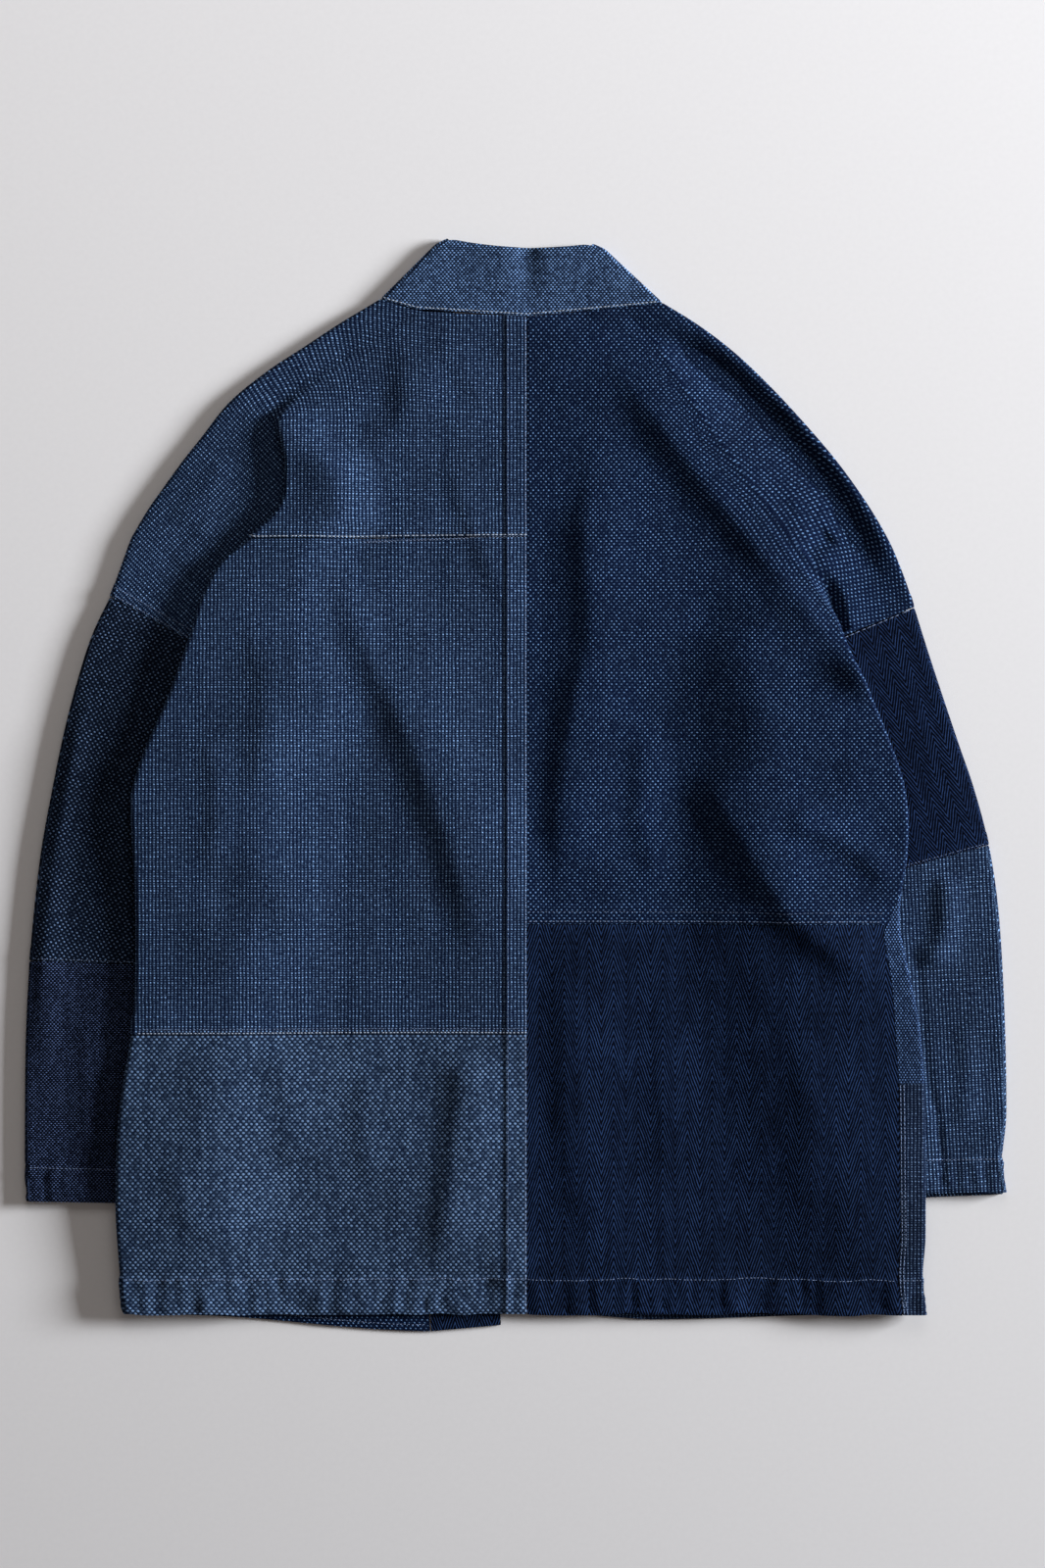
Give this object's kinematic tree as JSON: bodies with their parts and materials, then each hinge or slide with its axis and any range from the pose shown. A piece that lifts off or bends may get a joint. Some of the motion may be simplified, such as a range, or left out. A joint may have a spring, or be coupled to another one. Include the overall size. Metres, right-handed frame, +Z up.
{
  "type": "patchwork jacket",
  "caption": "Patchwork cotton jacket laid flat with its back up: band collar, open front, pleated drop shoulders and sleeves tucked under the sides.",
  "frame": {"origin": "middle of the laid-out jacket's outline, on the surface that it lies on", "axes": "+X across the jacket towards its right sleeve, +Y from the hem to the collar, +Z up from the surface; the jacket's back faces up"},
  "size_m": [0.7497, 0.8378, 0.0241],
  "materials": {
    "grid_cloth": "matte, woven grid of pale running stitches",
    "rice_cloth": "matte, pale dots in staggered rows",
    "birdseye_cloth": "matte, pale diagonal basket weave",
    "herringbone_cloth": "matte, herringbone twill",
    "basket_cloth": "matte, fine basket weave",
    "dot_cloth": "matte, fine pale dots"
  },
  "bodies": {
    "root": {"collar": "basket_cloth", "band_left": "herringbone_cloth", "band_right": "grid_cloth", "yoke_left": "grid_cloth", "back_left": "grid_cloth", "hem_left": "birdseye_cloth", "back_right": "rice_cloth", "hem_right": "herringbone_cloth", "front_left_upper": "grid_cloth", "front_right_upper": "rice_cloth", "front_left": "rice_cloth", "front_right": "basket_cloth", "front_right_hem": "grid_cloth", "sleeve_left_upper": "rice_cloth", "sleeve_left_lower": "dot_cloth", "sleeve_right_upper": "herringbone_cloth", "sleeve_right_lower": "grid_cloth"}
  },
  "joints": []
}
